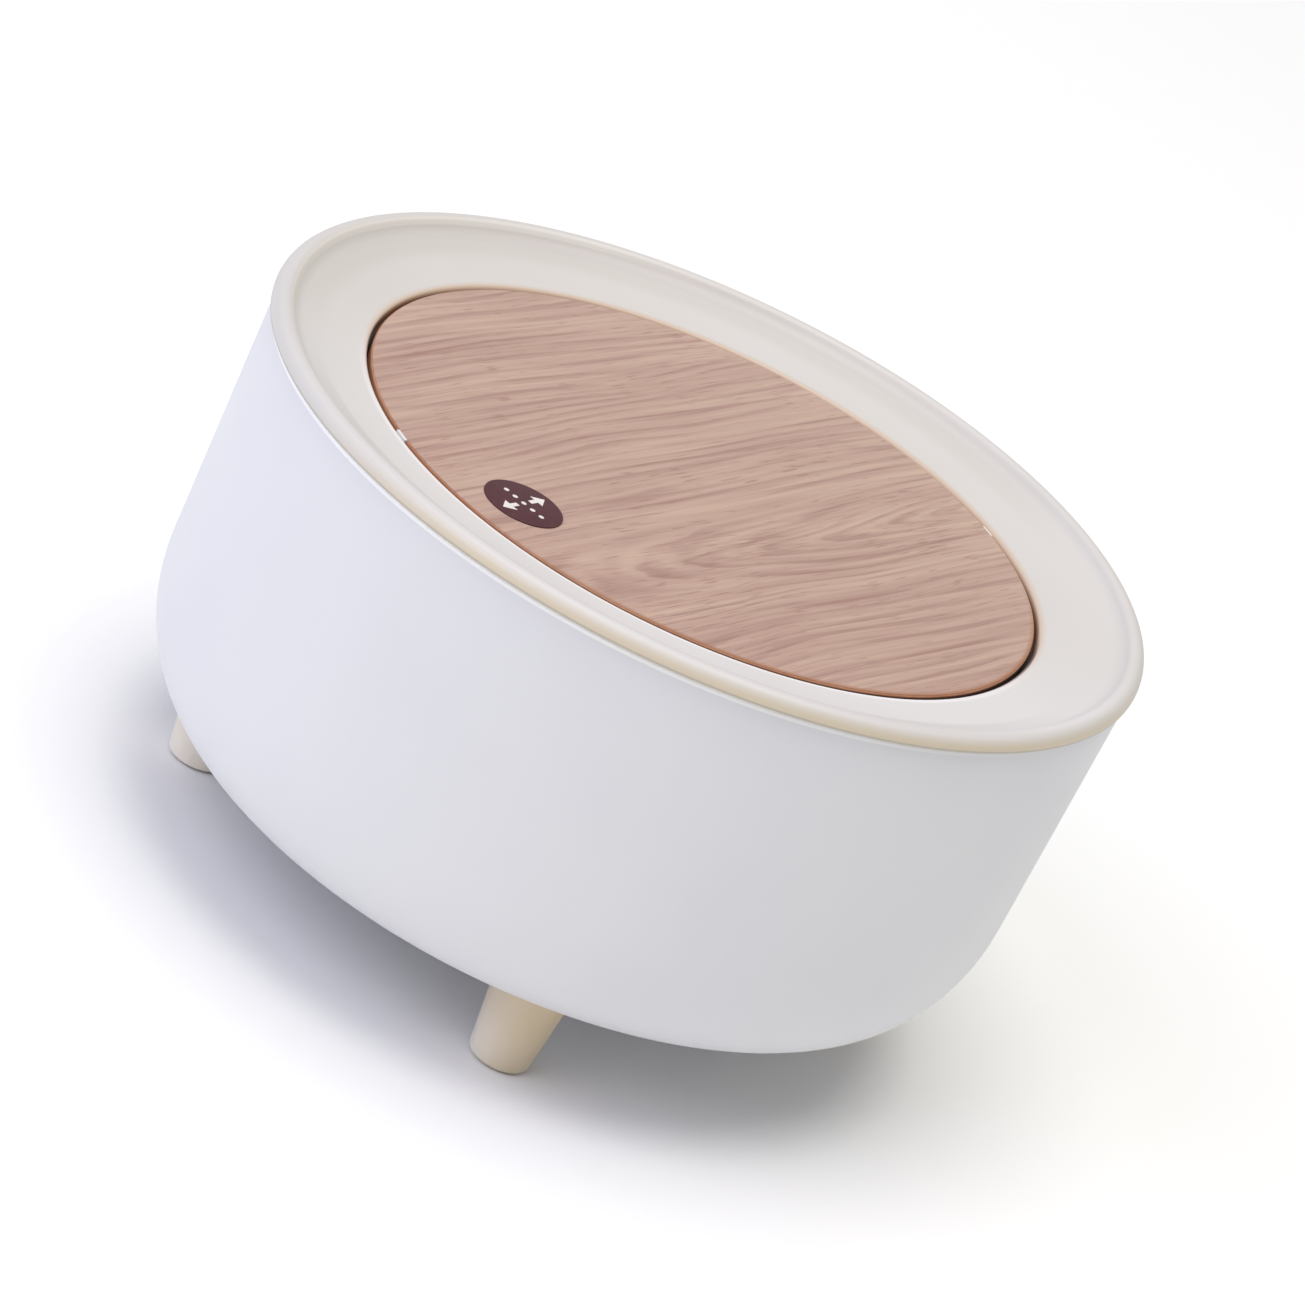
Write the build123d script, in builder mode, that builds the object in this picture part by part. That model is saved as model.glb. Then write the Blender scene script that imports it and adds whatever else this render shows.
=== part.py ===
from build123d import *
import math
import os

os.makedirs("parts", exist_ok=True)

# Tabletop waste bin with a swing flap. Millimetres, +Z up.
# The origin is on the surface that it stands on, on the bin's own axis. X is the flap's pivot axis.

# Body: a nearly straight wall on a large rounded corner
foot_height = 20.0
body_height = 87.2
body_mouth_radius = 98.8
body_base_radius = 97.8
corner_width = 17.3
corner_height = 26.5
body_wall = 2.2
body_floor = 2.4
body_edge_round = 1.0
body_edge_break = 0.4

# Feet: tapered plugs, each let into the body's underside and screwed from inside
foot_count = 4
foot_edge_distance = 6.8
foot_turn = 61.7
foot_top_radius = 8.7
foot_sole_radius = 6.7
foot_sole_round = 0.8
foot_inset = 1.0
foot_play = 0.1
pad_radius = 5.4
pad_thickness = 1.3
pad_proud = 0.5
pad_edge_break = 0.25
foot_boss_radius = 9.0
foot_boss_height = 1.6
washer_radius = 5.5
washer_thickness = 1.0
foot_screw_radius = 2.0
foot_screw_length = 17.0
foot_screw_head_radius = 4.0
foot_screw_head_height = 2.6
foot_screw_head_round = 0.9
foot_screw_cross = 4.0
foot_screw_cross_width = 0.7
foot_screw_cross_depth = 1.3
screw_play = 0.05

# Collar: a round bead outside, a shallow dish inside, and a skirt that plugs into the body
rim_rise = 3.2
bead_radius = 2.7
bead_overhang = 0.9
bead_inner_radius = 2.0
bead_inner_blend = 3.0
dish_sag = 0.35
opening_radius = 76.8
opening_depth = 6.0
opening_round = 1.2
dish_wall = 2.0
collar_wall = 2.0
collar_depth = 9.0
skirt_play = 0.3
skirt_wall = 1.8
skirt_depth = 9.0
skirt_lead = 0.8

# Flap: a board with a thin face, on a ribbed carrier
flap_gap = 0.7
flap_recess = 0.1
board_thickness = 2.8
board_edge_break = 0.3
face_thickness = 0.2
carrier_inset = 0.6
carrier_plate = 1.6
carrier_lip = 1.6
carrier_lip_round = 0.4
carrier_rib = 1.4
carrier_depth = 3.8
carrier_ring_radius = 48.0
carrier_rib_count = 12

# Pivot: pins in slots of the collar, closed from below by caps
pivot_drop = 3.0
pin_radius = 1.8
pin_play = 0.05
block_width = 4.0
block_gap = 0.35
block_length = 5.4
notch_play = 0.2
boss_width = 16.0
boss_reach = 6.7
boss_depth = 4.4
cap_plate = 1.8
cap_play = 0.1
cap_corner = 0.6
cap_saddle_drop = 1.2
stop_reach = 2.0
stop_length = 5.0
stop_width = 3.0
stop_play = 0.4
stop_rib_gap = 2.6
stop_rib_width = 4.0
stop_rib_rise = 1.35

# Counterweight in a pocket under the carrier
weight_length = 60.0
weight_width = 14.0
weight_height = 7.0
weight_play = 0.3
pocket_wall = 1.6
weight_cover_thickness = 1.6
cover_ear = 6.0
cover_corner = 4.0
cover_round = 0.4

# Small screws
small_screw_radius = 1.1
small_screw_head_radius = 2.2
small_screw_head_height = 1.5
small_screw_head_round = 0.5
small_screw_cross = 2.2
small_screw_cross_width = 0.4
small_screw_cross_depth = 0.8
cap_screw_length = 5.6
cap_screw_inset = 2.4
cap_screw_edge = 2.8
cover_screw_length = 6.0
panel_screw_length = 3.6
panel_screw_edge = 15.3
panel_screw_turn = 45.0
panel_screw_count = 4

# Label
label_radius = 8.6
label_thickness = 0.3
label_edge_distance = 15.0
label_turn = 200.5

# Heights and radii that follow from these
quarter_turn = 90
floor_z = foot_height + body_floor
seat_z = foot_height + body_height
rim_z = seat_z + rim_rise
opening_z = rim_z - opening_depth
bead_crown_radius = body_mouth_radius + bead_overhang - bead_radius
dish_foot_radius = bead_crown_radius - bead_inner_radius
dish_foot_z = rim_z - bead_inner_radius
corner_z = foot_height + corner_height
wall_taper = (body_mouth_radius - body_base_radius) / body_height
corner_x = body_base_radius + wall_taper * corner_height - corner_width
foot_circle = corner_x - foot_edge_distance
mouth_inner_radius = body_mouth_radius - body_wall
flap_radius = opening_radius - flap_gap
flap_z = opening_z - flap_recess
board_top_z = flap_z - face_thickness
board_z = board_top_z - board_thickness
carrier_radius = flap_radius - carrier_inset
carrier_z = board_z - carrier_plate
panel_screw_circle = carrier_radius - panel_screw_edge
label_circle = flap_radius - label_edge_distance
carrier_low_z = board_z - carrier_depth
pivot_z = opening_z - pivot_drop
boss_end = opening_radius + boss_reach
boss_z = pivot_z - boss_depth
cap_screw_place = boss_end - cap_screw_inset
cap_screw_spacing = boss_width - 2 * cap_screw_edge
pocket_z = carrier_z - weight_height - weight_play
cover_z = pocket_z - weight_cover_thickness
skirt_z = seat_z - skirt_depth
skirt_radius = mouth_inner_radius - max(wall_taper, 0) * skirt_depth - skirt_play
collar_radius = opening_radius + collar_wall
collar_z = opening_z - collar_depth
bead_z = rim_z - bead_radius
bead_foot_angle = math.degrees(math.asin((bead_z - seat_z) / bead_radius))
pocket_length = weight_length + 2 * weight_play
pocket_width = weight_width + 2 * weight_play
cover_length = pocket_length + 2 * (pocket_wall + cover_ear)
cover_width = pocket_width + 2 * pocket_wall
cover_screw_place = (pocket_length + pocket_wall + cover_ear) / 2
foot_top_z = foot_height + foot_inset
screw_seat_z = floor_z + foot_boss_height + washer_thickness
screw_tip_z = screw_seat_z - foot_screw_length
foot_places = PolarLocations(foot_circle, foot_count, start_angle=foot_turn).locations


def dish_height(radius):
    """Height of the dish's face at a radius, on the straight line between its two ends."""
    share = (radius - opening_radius) / (dish_foot_radius - opening_radius)
    return opening_z + share * (dish_foot_z - opening_z)


# Body shell
with BuildPart() as body_shell:
    with BuildSketch(Plane.XZ):
        with BuildLine():
            Polyline(
                (corner_x, foot_height),
                (0, foot_height),
                (0, floor_z),
                (corner_x, floor_z),
            )
            EllipticalCenterArc(
                (corner_x, corner_z),
                corner_width - body_wall,
                corner_height - body_floor,
                start_angle=270,
                arc_size=quarter_turn,
            )
            Polyline(
                (corner_x + corner_width - body_wall, corner_z),
                (mouth_inner_radius, seat_z),
                (body_mouth_radius, seat_z),
                (corner_x + corner_width, corner_z),
            )
            EllipticalCenterArc(
                (corner_x, corner_z),
                corner_width,
                corner_height,
                start_angle=270,
                arc_size=quarter_turn,
            )
        make_face()
    revolve(axis=Axis.Z)
    mouth_edges = body_shell.edges().group_by(Axis.Z)[-1].sort_by(SortBy.RADIUS)
    fillet(mouth_edges[-1], radius=body_edge_round)
    mouth_edges = body_shell.edges().group_by(Axis.Z)[-1].sort_by(SortBy.RADIUS)
    chamfer(mouth_edges[0], length=body_edge_break)
    with BuildSketch(Plane.XY.offset(floor_z)):
        with PolarLocations(foot_circle, foot_count, start_angle=foot_turn):
            Circle(foot_boss_radius)
    extrude(amount=foot_boss_height)
    with BuildSketch(Plane.XY.offset(foot_height)):
        with PolarLocations(foot_circle, foot_count, start_angle=foot_turn):
            Circle(foot_top_radius + foot_play)
    extrude(amount=foot_inset, mode=Mode.SUBTRACT)
    with BuildSketch(Plane.XY.offset(foot_height)):
        with PolarLocations(foot_circle, foot_count, start_angle=foot_turn):
            Circle(foot_screw_radius + screw_play)
    extrude(amount=body_floor + foot_boss_height, mode=Mode.SUBTRACT)
body_shell.part.label = "body_shell"
export_step(body_shell.part, "parts/body_shell.step")

# Feet and their soles
for number, place in enumerate(foot_places, start=1):
    foot_spot = place.position
    with BuildPart() as foot:
        with BuildSketch(Plane.XY.offset(pad_proud).move(Location(foot_spot))):
            Circle(foot_sole_radius)
        with BuildSketch(Plane.XY.offset(foot_height).move(Location(foot_spot))):
            Circle(foot_top_radius)
        loft()
        with BuildSketch(Plane.XY.offset(foot_height).move(Location(foot_spot))):
            Circle(foot_top_radius)
        extrude(amount=foot_inset)
        fillet(foot.edges().group_by(Axis.Z)[0], radius=foot_sole_round)
        with BuildSketch(Plane.XY.offset(pad_proud).move(Location(foot_spot))):
            Circle(pad_radius + foot_play)
        extrude(amount=pad_thickness - pad_proud, mode=Mode.SUBTRACT)
        with BuildSketch(Plane.XY.offset(foot_top_z).move(Location(foot_spot))):
            Circle(foot_screw_radius + screw_play)
        extrude(amount=screw_tip_z - foot_top_z, mode=Mode.SUBTRACT)
    foot.part.label = f"foot_{number}"
    export_step(foot.part, f"parts/foot_{number}.step")

    with BuildPart() as pad:
        with BuildSketch(Plane.XY.move(Location(foot_spot))):
            Circle(pad_radius)
        extrude(amount=pad_thickness)
        chamfer(pad.edges().group_by(Axis.Z)[0], length=pad_edge_break)
    pad.part.label = f"foot_pad_{number}"
    export_step(pad.part, f"parts/foot_pad_{number}.step")

# Screws through the floor into the feet, on sealing washers
with BuildPart() as foot_screws:
    with BuildSketch(Plane.XY.offset(screw_tip_z)):
        with Locations(*foot_places):
            Circle(foot_screw_radius)
    extrude(amount=foot_screw_length)
    with BuildSketch(Plane.XY.offset(screw_seat_z)):
        with Locations(*foot_places):
            Circle(foot_screw_head_radius)
    extrude(amount=foot_screw_head_height)
    fillet(foot_screws.edges().group_by(Axis.Z)[-1], radius=foot_screw_head_round)
    with BuildSketch(Plane.XY.offset(screw_seat_z + foot_screw_head_height)):
        with Locations(*foot_places):
            Rectangle(foot_screw_cross, foot_screw_cross_width)
            Rectangle(foot_screw_cross_width, foot_screw_cross)
    extrude(amount=-foot_screw_cross_depth, mode=Mode.SUBTRACT)
foot_screws.part.label = "foot_screws"
export_step(foot_screws.part, "parts/foot_screws.step")

with BuildPart() as foot_washers:
    with BuildSketch(Plane.XY.offset(floor_z + foot_boss_height)):
        with Locations(*foot_places):
            Circle(washer_radius)
            Circle(foot_screw_radius + screw_play, mode=Mode.SUBTRACT)
    extrude(amount=washer_thickness)
foot_washers.part.label = "foot_washers"
export_step(foot_washers.part, "parts/foot_washers.step")

# Blocks under the dish at each pivot: the bearing blocks, and the two ribs that stop the flap
boss_root = collar_radius - collar_wall / 2
stop_inner = boss_end + stop_play
stop_end = stop_inner + stop_reach
stop_rib_end = stop_end + stop_play
stop_rib_z = pivot_z + stop_rib_rise
with BuildPart() as bearing_blocks:
    with BuildSketch(Plane.XZ):
        Polygon(
            (boss_root, boss_z),
            (boss_end, boss_z),
            (boss_end, dish_height(boss_end) - dish_wall / 2),
            (boss_root, dish_height(boss_root) - dish_wall / 2),
            align=None,
        )
    revolve(axis=Axis.Z)
    with BuildSketch(Plane.XY.offset(boss_z)):
        Rectangle(2 * (boss_end + boss_reach), boss_width)
    extrude(amount=rim_z - boss_z, mode=Mode.INTERSECT)

with BuildPart() as stop_ribs:
    with BuildSketch(Plane.XZ):
        Polygon(
            (boss_root, stop_rib_z),
            (stop_rib_end, stop_rib_z),
            (stop_rib_end, dish_height(stop_rib_end) - dish_wall / 2),
            (boss_root, dish_height(boss_root) - dish_wall / 2),
            align=None,
        )
    revolve(axis=Axis.Z)
    with BuildSketch(Plane.XY.offset(stop_rib_z)):
        with GridLocations(0, 2 * stop_rib_gap + stop_rib_width, 1, 2):
            Rectangle(2 * (stop_rib_end + stop_reach), stop_rib_width)
    extrude(amount=rim_z - stop_rib_z, mode=Mode.INTERSECT)

# Collar
with BuildPart() as lid_ring:
    with BuildSketch(Plane.XZ):
        with BuildLine():
            bead = CenterArc(
                (bead_crown_radius, bead_z),
                bead_radius,
                -bead_foot_angle,
                quarter_turn + bead_foot_angle,
            )
            crown = CenterArc(
                (bead_crown_radius, dish_foot_z),
                bead_inner_radius,
                quarter_turn,
                quarter_turn,
            )
            dish = SagittaArc(crown @ 1, (opening_radius + opening_round, opening_z), dish_sag)
            lip = RadiusArc(dish @ 1, (opening_radius, opening_z - opening_round), -opening_round)
            under = Polyline(
                lip @ 1,
                (opening_radius, collar_z),
                (collar_radius, collar_z),
                (collar_radius, dish_height(collar_radius) - dish_wall),
            )
            skirt_top = (skirt_radius - skirt_wall, dish_height(skirt_radius - skirt_wall) - dish_wall)
            under_dish = SagittaArc(under @ 1, skirt_top, -dish_sag)
            Polyline(
                under_dish @ 1,
                (skirt_radius - skirt_wall, skirt_z),
                (skirt_radius - skirt_lead, skirt_z),
                (skirt_radius, skirt_z + skirt_lead),
                (skirt_radius, seat_z),
                bead @ 0,
            )
        make_face()
    revolve(axis=Axis.Z)
    blend_edge = lid_ring.edges().sort_by_distance((dish_foot_radius, 0, dish_foot_z))[0]
    fillet(blend_edge, radius=bead_inner_blend)
    add(bearing_blocks.part)
    add(stop_ribs.part)
    with BuildSketch(Plane.YZ):
        with Locations((0, pivot_z)):
            Circle(pin_radius + pin_play)
            Rectangle(2 * (pin_radius + pin_play), pivot_z - collar_z, align=(Align.CENTER, Align.MAX))
    extrude(amount=stop_inner, both=True, mode=Mode.SUBTRACT)
    with BuildSketch(Plane.XY.offset(boss_z)):
        with GridLocations(2 * cap_screw_place, cap_screw_spacing, 2, 2):
            Circle(small_screw_radius + screw_play)
    extrude(amount=cap_screw_length - cap_plate + screw_play, mode=Mode.SUBTRACT)
lid_ring.part.label = "lid_ring"
export_step(lid_ring.part, "parts/lid_ring.step")

# Caps that close the pivot slots from below, each with a saddle under its pin
cap_inner = collar_radius + cap_play
cap_tongue = 2 * (pin_radius + pin_play - cap_play)
for side, name in ((1, "bearing_cap_right"), (-1, "bearing_cap_left")):
    with BuildPart() as bearing_cap:
        with BuildSketch(Plane.XY.offset(boss_z - cap_plate)):
            with Locations((side * (cap_inner + boss_end) / 2, 0)):
                RectangleRounded(boss_end - cap_inner, boss_width, cap_corner)
        extrude(amount=cap_plate)
        with BuildSketch(Plane.XY.offset(boss_z - cap_plate)):
            with Locations((side * (opening_radius + cap_play + boss_end - cap_corner) / 2, 0)):
                Rectangle(boss_end - cap_corner - opening_radius - cap_play, cap_tongue)
        extrude(amount=pivot_z - cap_saddle_drop - boss_z + cap_plate)
        with BuildSketch(Plane.YZ):
            with Locations((0, pivot_z)):
                Circle(pin_radius + pin_play)
        extrude(amount=side * stop_end, mode=Mode.SUBTRACT)
        with BuildSketch(Plane.XY.offset(boss_z - cap_plate)):
            with Locations((side * cap_screw_place, 0)):
                with GridLocations(0, cap_screw_spacing, 1, 2):
                    Circle(small_screw_radius + screw_play)
        extrude(amount=cap_plate, mode=Mode.SUBTRACT)
    bearing_cap.part.label = name
    export_step(bearing_cap.part, f"parts/{name}.step")


def small_screws(places, seat_height, length):
    """A set of pan-head screws whose heads bear up against one height, with crossed slots."""
    with BuildPart() as screws:
        with BuildSketch(Plane.XY.offset(seat_height)):
            with Locations(*places):
                Circle(small_screw_radius)
        extrude(amount=length)
        with BuildSketch(Plane.XY.offset(seat_height)):
            with Locations(*places):
                Circle(small_screw_head_radius)
        extrude(amount=-small_screw_head_height)
        fillet(screws.edges().group_by(Axis.Z)[0], radius=small_screw_head_round)
        with BuildSketch(Plane.XY.offset(seat_height - small_screw_head_height)):
            with Locations(*places):
                Rectangle(small_screw_cross, small_screw_cross_width)
                Rectangle(small_screw_cross_width, small_screw_cross)
        extrude(amount=small_screw_cross_depth, mode=Mode.SUBTRACT)
    return screws.part


cap_screw_places = GridLocations(2 * cap_screw_place, cap_screw_spacing, 2, 2).locations
bearing_cap_screws = small_screws(cap_screw_places, boss_z - cap_plate, cap_screw_length)
bearing_cap_screws.label = "bearing_cap_screws"
export_step(bearing_cap_screws, "parts/bearing_cap_screws.step")

# Flap carrier: plate, lip, ribs, the counterweight's pocket and the two pivots
block_inner = flap_radius - block_length
block_end = opening_radius - block_gap
panel_screw_ring = PolarLocations(panel_screw_circle, panel_screw_count, start_angle=panel_screw_turn)
panel_screw_places = panel_screw_ring.locations
with BuildPart() as flap_carrier:
    with BuildSketch(Plane.XY.offset(carrier_low_z)):
        Circle(carrier_radius)
        Circle(carrier_radius - carrier_lip, mode=Mode.SUBTRACT)
    extrude(amount=carrier_z - carrier_low_z)
    fillet(flap_carrier.edges().group_by(Axis.Z)[0], radius=carrier_lip_round)
    with BuildSketch(Plane.XY.offset(carrier_z)):
        Circle(carrier_radius)
    extrude(amount=carrier_plate)
    with BuildSketch(Plane.XY.offset(carrier_low_z)):
        Circle(carrier_ring_radius + carrier_rib / 2)
        Circle(carrier_ring_radius - carrier_rib / 2, mode=Mode.SUBTRACT)
        with PolarLocations((carrier_radius - carrier_lip / 2) / 2, carrier_rib_count):
            Rectangle(carrier_radius - carrier_lip / 2, carrier_rib)
    extrude(amount=carrier_z - carrier_low_z)
    with BuildSketch(Plane.XY.offset(pocket_z)):
        RectangleRounded(cover_length, cover_width, cover_corner)
    extrude(amount=carrier_z - pocket_z)
    with BuildSketch(Plane.XY.offset(pocket_z)):
        Rectangle(pocket_length, pocket_width)
    extrude(amount=carrier_z - pocket_z, mode=Mode.SUBTRACT)
    with BuildSketch(Plane.XY.offset(pocket_z)):
        with GridLocations(2 * cover_screw_place, 0, 2, 1):
            Circle(small_screw_radius + screw_play)
    extrude(amount=cover_screw_length - weight_cover_thickness + screw_play, mode=Mode.SUBTRACT)
    with BuildSketch(Plane.XY.offset(carrier_z)):
        with Locations(*panel_screw_places):
            Circle(small_screw_radius + screw_play)
    extrude(amount=carrier_plate, mode=Mode.SUBTRACT)
    with BuildSketch(Plane.XY.offset(carrier_low_z)):
        Circle(block_end)
        Rectangle(2 * block_end, block_width, mode=Mode.INTERSECT)
        Circle(block_inner, mode=Mode.SUBTRACT)
    extrude(amount=board_top_z - carrier_low_z)
    for side in (1, -1):
        with BuildSketch(Plane.YZ.offset(side * (block_inner + block_length / 2))):
            with Locations((0, pivot_z)):
                Circle(pin_radius)
        extrude(amount=side * (stop_end - block_inner - block_length / 2))
        with BuildSketch(Plane.YZ.offset(side * stop_inner)):
            with Locations((0, pivot_z)):
                Rectangle(stop_width, stop_length, align=(Align.CENTER, Align.MAX))
        extrude(amount=side * stop_reach)
flap_carrier.part.label = "flap_carrier"
export_step(flap_carrier.part, "parts/flap_carrier.step")

# Board, with a notch at each pivot and a broken upper edge
with BuildPart() as panel_board:
    with BuildSketch(Plane.XY.offset(board_z)):
        Circle(flap_radius)
    extrude(amount=board_thickness)
    chamfer(panel_board.edges().group_by(Axis.Z)[-1], length=board_edge_break)
    with BuildSketch(Plane.XY.offset(board_z)):
        with GridLocations(2 * (block_inner - notch_play + block_length), 0, 2, 1):
            Rectangle(2 * block_length, block_width + 2 * notch_play)
    extrude(amount=board_thickness, mode=Mode.SUBTRACT)
    with BuildSketch(Plane.XY.offset(board_z)):
        with Locations(*panel_screw_places):
            Circle(small_screw_radius + screw_play)
    extrude(amount=panel_screw_length - carrier_plate + screw_play, mode=Mode.SUBTRACT)
panel_board.part.label = "panel_board"
export_step(panel_board.part, "parts/panel_board.step")

with BuildPart() as panel_grain_face:
    with BuildSketch(Plane.XY.offset(board_top_z)):
        Circle(flap_radius - board_edge_break)
    extrude(amount=face_thickness)
panel_grain_face.part.label = "panel_grain_face"
export_step(panel_grain_face.part, "parts/panel_grain_face.step")

with BuildPart() as flap_label:
    with BuildSketch(Plane.XY.offset(flap_z)):
        with PolarLocations(label_circle, 1, start_angle=label_turn):
            Circle(label_radius)
    extrude(amount=label_thickness)
flap_label.part.label = "flap_label"
export_step(flap_label.part, "parts/flap_label.step")

panel_screws = small_screws(panel_screw_places, carrier_z, panel_screw_length)
panel_screws.label = "panel_screws"
export_step(panel_screws, "parts/panel_screws.step")

# Counterweight and its cover
with BuildPart() as counterweight:
    with BuildSketch(Plane.XY.offset(pocket_z)):
        Rectangle(weight_length, weight_width)
    extrude(amount=weight_height)
    chamfer(counterweight.edges(), length=weight_play)
counterweight.part.label = "counterweight"
export_step(counterweight.part, "parts/counterweight.step")

with BuildPart() as weight_cover:
    with BuildSketch(Plane.XY.offset(cover_z)):
        RectangleRounded(cover_length, cover_width, cover_corner)
        with GridLocations(2 * cover_screw_place, 0, 2, 1):
            Circle(small_screw_radius + screw_play, mode=Mode.SUBTRACT)
    extrude(amount=weight_cover_thickness)
    fillet(weight_cover.faces().sort_by(Axis.Z)[0].outer_wire().edges(), radius=cover_round)
weight_cover.part.label = "weight_cover"
export_step(weight_cover.part, "parts/weight_cover.step")

cover_screw_places = GridLocations(2 * cover_screw_place, 0, 2, 1).locations
weight_cover_screws = small_screws(cover_screw_places, cover_z, cover_screw_length)
weight_cover_screws.label = "weight_cover_screws"
export_step(weight_cover_screws, "parts/weight_cover_screws.step")
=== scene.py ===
"""A tabletop waste bin with a swing flap: its finishes, its modelled pieces, the studio and the camera."""

import logging
import math
from dataclasses import dataclass
from enum import Enum
from typing import Callable, Iterable, Sequence

import bmesh
import bpy
from mathutils import Matrix, Vector


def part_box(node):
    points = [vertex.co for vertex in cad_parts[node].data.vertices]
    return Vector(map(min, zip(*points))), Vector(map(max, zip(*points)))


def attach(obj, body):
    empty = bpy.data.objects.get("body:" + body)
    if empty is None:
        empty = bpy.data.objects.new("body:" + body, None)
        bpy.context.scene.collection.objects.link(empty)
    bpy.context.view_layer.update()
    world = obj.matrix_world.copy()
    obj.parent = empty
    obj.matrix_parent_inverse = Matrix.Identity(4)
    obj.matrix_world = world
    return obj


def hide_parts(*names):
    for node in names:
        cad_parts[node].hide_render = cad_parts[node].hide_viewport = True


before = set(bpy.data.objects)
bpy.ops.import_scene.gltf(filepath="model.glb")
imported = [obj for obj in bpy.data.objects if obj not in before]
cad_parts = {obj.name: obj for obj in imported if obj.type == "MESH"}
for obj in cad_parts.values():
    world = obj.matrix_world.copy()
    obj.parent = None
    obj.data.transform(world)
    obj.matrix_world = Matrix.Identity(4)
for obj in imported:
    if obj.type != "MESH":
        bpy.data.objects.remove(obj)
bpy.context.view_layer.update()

MM = 0.001
MERGE = 0.002 * MM
SMOOTH_ANGLE = math.radians(32)
MIX_FIRST, MIX_SECOND, MIX_RESULT = 6, 7, 2
Point = tuple[float, float]
Point3 = tuple[float, float, float]
Profile = list[Point]
Colour = tuple[int, int, int]
Socket = bpy.types.NodeSocket
Piece = bpy.types.Object
log = logging.getLogger("bin")


class Body(Enum):
    """The moving bodies that a piece may ride on."""

    BIN = "bin"
    LID = "lid"
    FLAP = "flap"


class Slot(Enum):
    """The record's material slots."""

    BODY_WHITE = "body_white"
    RING_CREAM = "ring_cream"
    FLAP_WHITE = "flap_white"
    BOARD_BROWN = "board_brown"
    GRAIN_FACE = "grain_face"
    LABEL_PLUM = "label_plum"
    WEIGHT_STEEL = "weight_steel"
    SCREW_STEEL = "screw_steel"
    FOOT_BEIGE = "foot_beige"
    SOLE_RUBBER = "sole_rubber"
    SEAL_RUBBER = "seal_rubber"


class Join(Enum):
    """What a tool does to a piece."""

    ADD = "UNION"
    CUT = "DIFFERENCE"
    KEEP = "INTERSECT"


def linear(colour: Colour) -> tuple[float, float, float, float]:
    """Turns a colour as a screen shows it into the renderer's linear light.

    Args:
        colour: Red, green and blue from 0 to 255.

    Returns:
        The linear red, green and blue with an alpha of one.
    """
    parts = [c / 255 for c in colour]
    red, green, blue = [c / 12.92 if c <= 0.04045 else ((c + 0.055) / 1.055) ** 2.4 for c in parts]
    return red, green, blue, 1.0


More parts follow.
